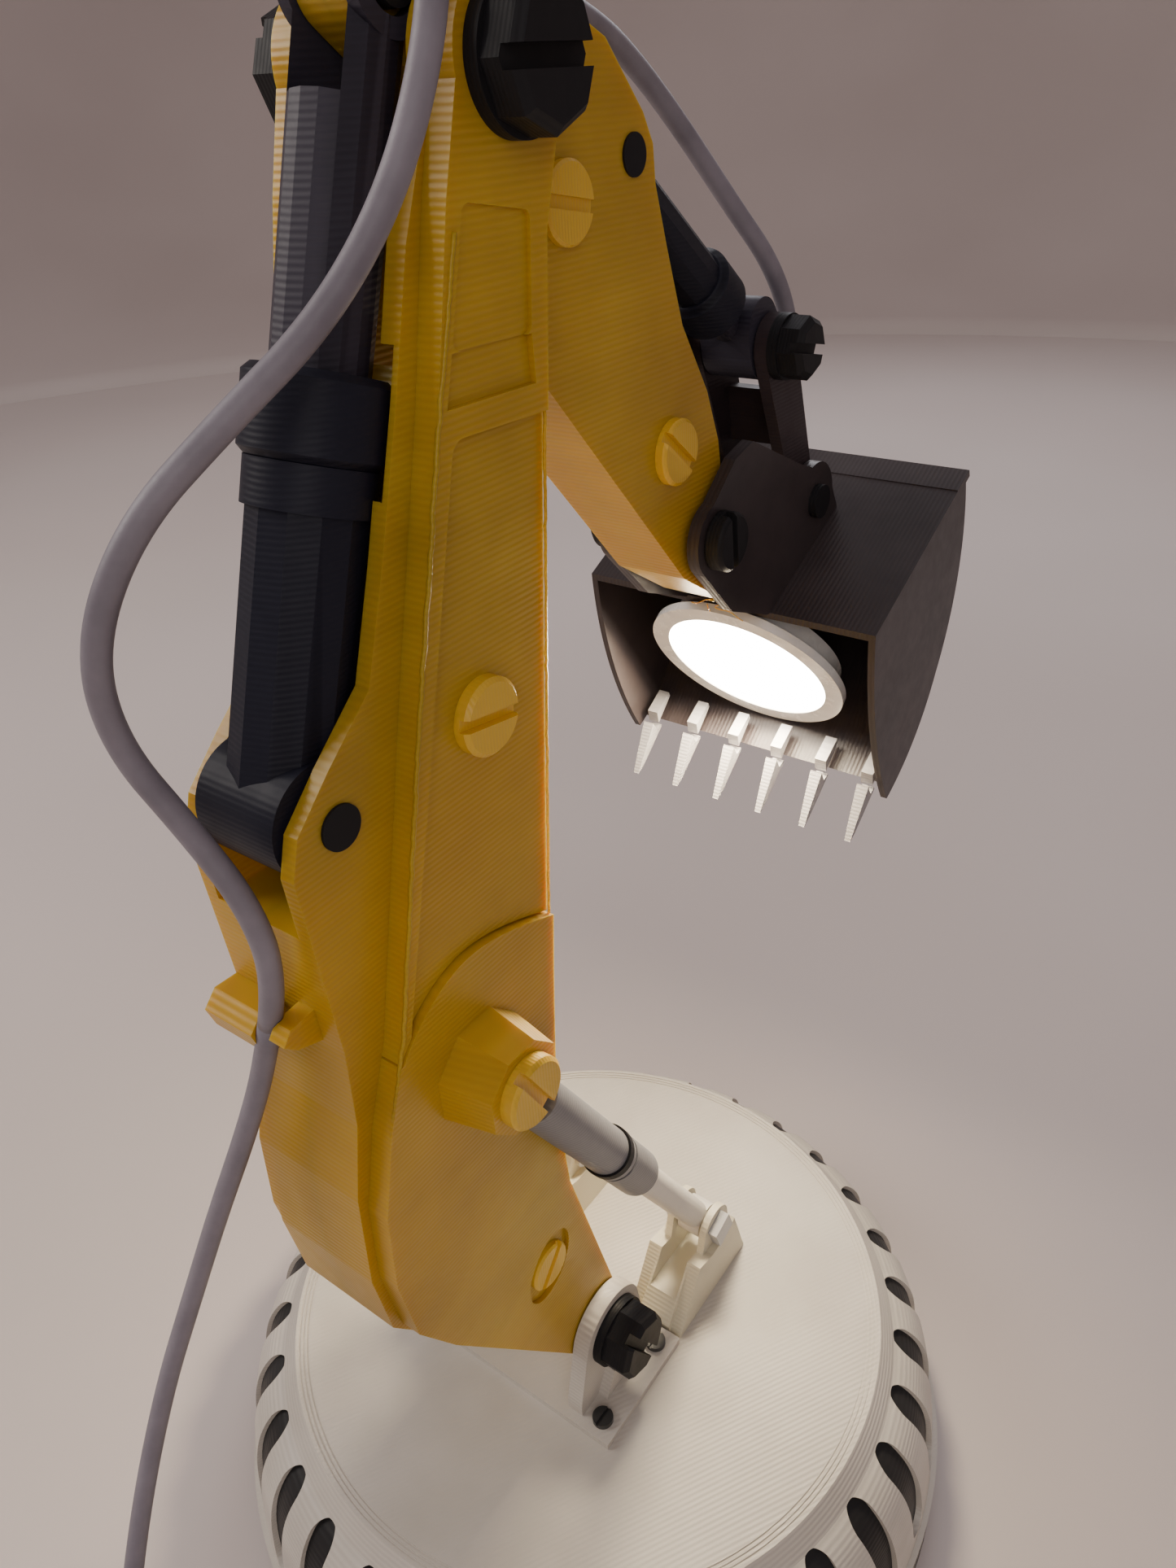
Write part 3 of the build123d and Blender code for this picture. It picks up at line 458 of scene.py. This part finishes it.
# Dark colour, light colour, roughness, layer direction and pitch, ridge depth, and what is special.
PRINTS = {
    "black_print": ((0.003, 0.003, 0.006), (0.009, 0.01, 0.02), 0.46, ("Z", 0.9), 0.025,
                    {"shine": 0.16}),
    "bolt_black": ((0.003, 0.003, 0.004), (0.008, 0.008, 0.01), 0.5, ("Y", 0.8), 0.03,
                   {"shine": 0.16}),
    "dark_print": ((0.012, 0.011, 0.018), (0.032, 0.029, 0.044), 0.45, ("Z", 1.0), 0.035,
                   {"shine": 0.25}),
    "grey_print": ((0.1, 0.1, 0.105), (0.18, 0.18, 0.19), 0.42, ("Z", 1.0), 0.04, {}),
    "rod_print": ((0.42, 0.4, 0.36), (0.6, 0.57, 0.52), 0.4, ("Z", 0.9), 0.03, {}),
    "clevis_print": ((0.46, 0.42, 0.3), (0.62, 0.58, 0.45), 0.42, ("Z", 1.0), 0.05, {}),
    "link_print": ((0.01, 0.007, 0.009), (0.028, 0.018, 0.021), 0.45, ("Z", 0.9), 0.03,
                   {"shine": 0.2}),
    "bucket_print": ((0.026, 0.02, 0.022), (0.062, 0.049, 0.05), 0.36, ("Y", 1.2), 0.04,
                     {"coat": 0.05, "edge_highlight": False, "shine": 0.3}),
    "teeth_print": ((0.15, 0.145, 0.15), (0.3, 0.29, 0.3), 0.36, ("Z", 0.9), 0.04, {}),
    # painted shade: base_dark (the core seen through the tread's grooves) and base_floor (the band
    # round the bottom of the base) are dark greys standing in for the shade that falls there
    "base_dark": ((0.012, 0.012, 0.013), (0.03, 0.03, 0.032), 0.5, ("Z", 1.2), 0.05,
                  {"shine": 0.25}),
    "base_floor": ((0.1, 0.1, 0.1), (0.16, 0.16, 0.16), 0.5, ("X", 1.0), 0.04, {}),
    "screw_black": ((0.01, 0.01, 0.01), (0.03, 0.03, 0.03), 0.35, ("Z", 0.5), 0.01, {}),
    "steel": ((0.35, 0.35, 0.36), (0.5, 0.5, 0.5), 0.3, ("X", 0.6), 0.01, {}),
    "base_print": ((0.53, 0.49, 0.43), (0.66, 0.62, 0.555), 0.44, ("Z", 1.1), 0.07,
                   {"edge_highlight": False, "raster": 1.3}),
    "plug": ((0.5, 0.5, 0.51), (0.62, 0.62, 0.62), 0.25, ("Y", 3.0), 0.01, {"coat": 0.3}),
    "lamp_white": ((0.72, 0.7, 0.66), (0.86, 0.84, 0.8), 0.25, ("Z", 4.0), 0.005, {"coat": 0.3}),
}


def make_looks():
    """The material for each slot."""
    looks = {"yellow_print": yellow_print(), "yellow_screw": yellow_screw()}
    for slot, (dark, light, rough, layer, depth, special) in PRINTS.items():
        looks[slot] = printed(slot, dark, light, rough, layer, depth, **special)
    looks["pad"] = fibre("pad", (0.01, 0.01, 0.011), (0.035, 0.035, 0.036))
    looks["cable"] = cable_jacket()
    looks["lamp_lens"] = lens()
    return {slot: n.material for slot, n in looks.items()}


def fibre(name, dark, light):
    n = Nodes(name)
    weave = n.noise(900.0, 2.0, 0.7)
    n.link(n.ramp(weave, [(0.3, dark), (0.7, light)]), n.shader.inputs["Base Color"])
    n.shader.inputs["Roughness"].default_value = 0.85
    n.bump([(weave, 0.12)])
    return n


def cable_jacket():
    n = Nodes("cable")
    cloud = n.noise(60.0, 4.0, 0.6)
    fine = n.noise(1400.0, 2.0, 0.6)
    colour = n.ramp(cloud, [(0.3, (0.17, 0.155, 0.185)), (0.7, (0.26, 0.24, 0.28))])
    n.link(colour, n.shader.inputs["Base Color"])
    n.link(n.spread(fine, 0.42, 0.6), n.shader.inputs["Roughness"])
    n.bump([(fine, 0.03), (cloud, 0.1)])
    return n


def lens():
    """Milky lens that glows, brighter in the middle."""
    n = Nodes("lamp_lens")
    grain = n.noise(500.0, 2.0, 0.5)
    cloud = n.noise(30.0, 2.0, 0.5)
    n.link(n.ramp(cloud, [(0.3, (0.9, 0.88, 0.82)), (0.7, (0.97, 0.95, 0.9))]),
           n.shader.inputs["Base Color"])
    n.link(n.ramp(cloud, [(0.25, (1.0, 0.86, 0.66)), (0.75, (1.0, 0.9, 0.74))]),
           n.shader.inputs["Emission Color"])
    n.shader.inputs["Emission Strength"].default_value = 34.0
    n.shader.inputs["Roughness"].default_value = 0.35
    n.bump([(grain, 0.02)])
    return n


def dress_nodes():
    for name, piece in NODES.items():
        piece.data.materials.clear()
        piece.data.materials.append(LOOKS[SLOTS[name]])


# Width of the rounded edge in mm, by slot.
EDGE_WIDTHS = {"yellow_print": 0.45, "yellow_screw": 0.4, "bolt_black": 0.45, "black_print": 0.4,
               "grey_print": 0.35, "rod_print": 0.3, "clevis_print": 0.6, "link_print": 0.5,
               "bucket_print": 0.4, "teeth_print": 0.45, "base_print": 0.5, "plug": 0.4,
               "lamp_white": 0.5}
LEFT_SHARP = ("base_shell", "boom_bracket")


def soften_edges():
    """Small rounded edges on the printed parts, as a print has."""
    for name, piece in NODES.items():
        width = EDGE_WIDTHS.get(SLOTS[name])
        if not width or name in LEFT_SHARP:
            continue
        bevel = piece.modifiers.new("edge", "BEVEL")
        bevel.width = width * MM
        bevel.segments = 2
        bevel.limit_method = "ANGLE"
        bevel.angle_limit = math.radians(28)
        bevel.use_clamp_overlap = True
        even = piece.modifiers.new("even", "WEIGHTED_NORMAL")
        even.keep_sharp = True
        even.weight = 80


# ---------------------------------------------------------------- print marks
# (x, z) along each panel's crease and front edge, in mm, with z above the base's top plate.
CREASE = [(-30.5, 290.0), (-37.4, 267.5), (-50.7, 220.5), (-65.6, 164.0), (-71.9, 147.0)]
FRONT_EDGE = [(-12.3, 262.0), (-17.4, 212.6), (-23.7, 148.6), (-26.8, 112.3)]
CREASE_Y = 17.55
FRONT_Y = 16.9
CREASE_BEAD_R = 0.42
FRONT_BEAD_R = 0.3
MARK_SIDES = 8
HAIRS = 6
HAIR_AT = (60.0, -8.0, 199.5)
HAIR_R = 0.13
HAIR_POINTS = 9
HAIR_STEP = 0.9
HAIR_WAVE = 0.35


def wander(points, step, amount, seed):
    """Points along a polyline, each nudged a little, as an uneven bead lies."""
    rng = random.Random(seed)
    path = []
    for a, b in zip(points, points[1:]):
        count = max(2, round((b - a).length / (step * MM)))
        for i in range(count):
            nudge = Vector([rng.uniform(-amount, amount) * MM for _ in range(3)])
            path.append(a.lerp(b, i / count) + nudge)
    return path + [points[-1]]


def place(x, y, z):
    """A spot in metres, from mm with z above the base's top plate."""
    return Vector((x * MM, y * MM, (z + DECK) * MM))


def mark(name, path, radius, body, look):
    piece = tube(name, path, radius * MM, MARK_SIDES)
    piece.data.materials.append(LOOKS[look])
    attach(piece, body)


def make_print_marks():
    """Uneven beads along the panels' creases and a few stray plastic hairs."""
    for side, tag in ((-1, "near"), (1, "far")):
        bead = [place(x, side * CREASE_Y, z) for x, z in CREASE]
        bead = wander(bead, step=1.4, amount=0.12, seed=5 + side)
        mark("crease_bead_" + tag, bead, CREASE_BEAD_R, "boom", "yellow_print")
        bead = [place(x, side * FRONT_Y, z) for x, z in FRONT_EDGE]
        bead = wander(bead, step=1.2, amount=0.08, seed=9 + side)
        mark("front_bead_" + tag, bead, FRONT_BEAD_R, "boom", "yellow_print")
    rng = random.Random(11)
    x, y, z = HAIR_AT
    for i in range(HAIRS):
        root = place(x + rng.uniform(-4.0, 3.0), y + rng.uniform(-1.0, 5.0), z)
        drift = Vector((rng.uniform(-0.4, 0.8), rng.uniform(-1.0, -0.1), rng.uniform(-0.5, 0.1)))
        hair = []
        for k in range(HAIR_POINTS):
            along = k * HAIR_STEP
            lift = Vector((0, 0, math.sin(along + i) * HAIR_WAVE * MM))
            hair.append(root + drift * (along * MM) + lift)
        mark("hair_" + str(i), hair, HAIR_R, "stick", "yellow_screw")


# ---------------------------------------------------------------- room
FLOOR_R = 1.7                  # the level part of the floor, in metres
RIM_R = 1.1                    # the round rise from the floor to the wall
WALL_H = 3.2
FLOOR_SIDES = 96
MIDDLE = (0.0, 0.0, 0.25)
WORLD_COLOUR = (0.62, 0.56, 0.58, 1.0)
WORLD_POWER = 0.75
# Name, place, what it aims at, size, power and colour. The first is the lamp's own light.
LIGHTS = (
    ("lamp_throw", (0.0875, 0.0, 0.2209), (-0.1, 0.0, 0.085), 0.044, 0.45, (1.0, 0.82, 0.55)),
    ("key", (-0.5, 0.9, 0.9), MIDDLE, 0.7, 8.0, (1.0, 0.93, 0.86)),
    ("fill", (-0.9, -0.7, 0.8), MIDDLE, 0.9, 4.0, (1.0, 0.94, 0.9)),
    ("back", (1.2, 0.4, 0.9), MIDDLE, 0.8, 5.0, (0.95, 0.95, 1.0)),
)


def area(name, spot, aim, size, power, colour):
    """A round lamp that lights the object and isn't seen itself."""
    data = bpy.data.lights.new(name, "AREA")
    data.shape = "DISK"
    data.size = size
    data.energy = power
    data.color = colour
    light = bpy.data.objects.new(name, data)
    bpy.context.collection.objects.link(light)
    light.location = spot
    toward = Vector(aim) - Vector(spot)
    light.rotation_euler = toward.to_track_quat("-Z", "Y").to_euler()
    light.visible_camera = False


def floor_look():
    n = Nodes("floor")
    cloud = n.noise(2.0, 2.0, 0.5)
    n.link(n.ramp(cloud, [(0.3, (0.6, 0.53, 0.5)), (0.7, (0.66, 0.59, 0.56))]),
           n.shader.inputs["Base Color"])
    n.shader.inputs["Roughness"].default_value = 0.95
    n.shader.inputs["Specular IOR Level"].default_value = 0.1
    return n.material


def make_floor():
    """A round floor that curves up into a wall."""
    profile = [(FLOOR_R, 0.0)]
    for k in range(1, 16):
        angle = math.radians(6 * k)
        profile.append((FLOOR_R + RIM_R * math.sin(angle), RIM_R - RIM_R * math.cos(angle)))
    profile.append((FLOOR_R + RIM_R, WALL_H))
    bm = bmesh.new()
    rows = []
    for radius, z in profile:
        row = []
        for k in range(FLOOR_SIDES):
            angle = 2 * math.pi * k / FLOOR_SIDES
            row.append(bm.verts.new((radius * math.cos(angle), radius * math.sin(angle), z)))
        rows.append(row)
    bm.faces.new(rows[0])
    for one, two in zip(rows, rows[1:]):
        for k in range(FLOOR_SIDES):
            after = (k + 1) % FLOOR_SIDES
            face = bm.faces.new((one[k], one[after], two[after], two[k]))
            face.smooth = True
    mesh = bpy.data.meshes.new("floor")
    bm.to_mesh(mesh)
    bm.free()
    floor = bpy.data.objects.new("floor", mesh)
    bpy.context.collection.objects.link(floor)
    floor.data.materials.append(floor_look())


def make_room():
    make_floor()
    world = bpy.data.worlds.new("studio")
    world.use_nodes = True
    world.node_tree.nodes["Background"].inputs["Color"].default_value = WORLD_COLOUR
    world.node_tree.nodes["Background"].inputs["Strength"].default_value = WORLD_POWER
    bpy.context.scene.world = world
    for light in LIGHTS:
        area(*light)


make_camera()
LOOKS = make_looks()
make_cables(LOOKS["cable"])
dress_nodes()
soften_edges()
make_print_marks()
make_room()
bpy.context.view_layer.update()
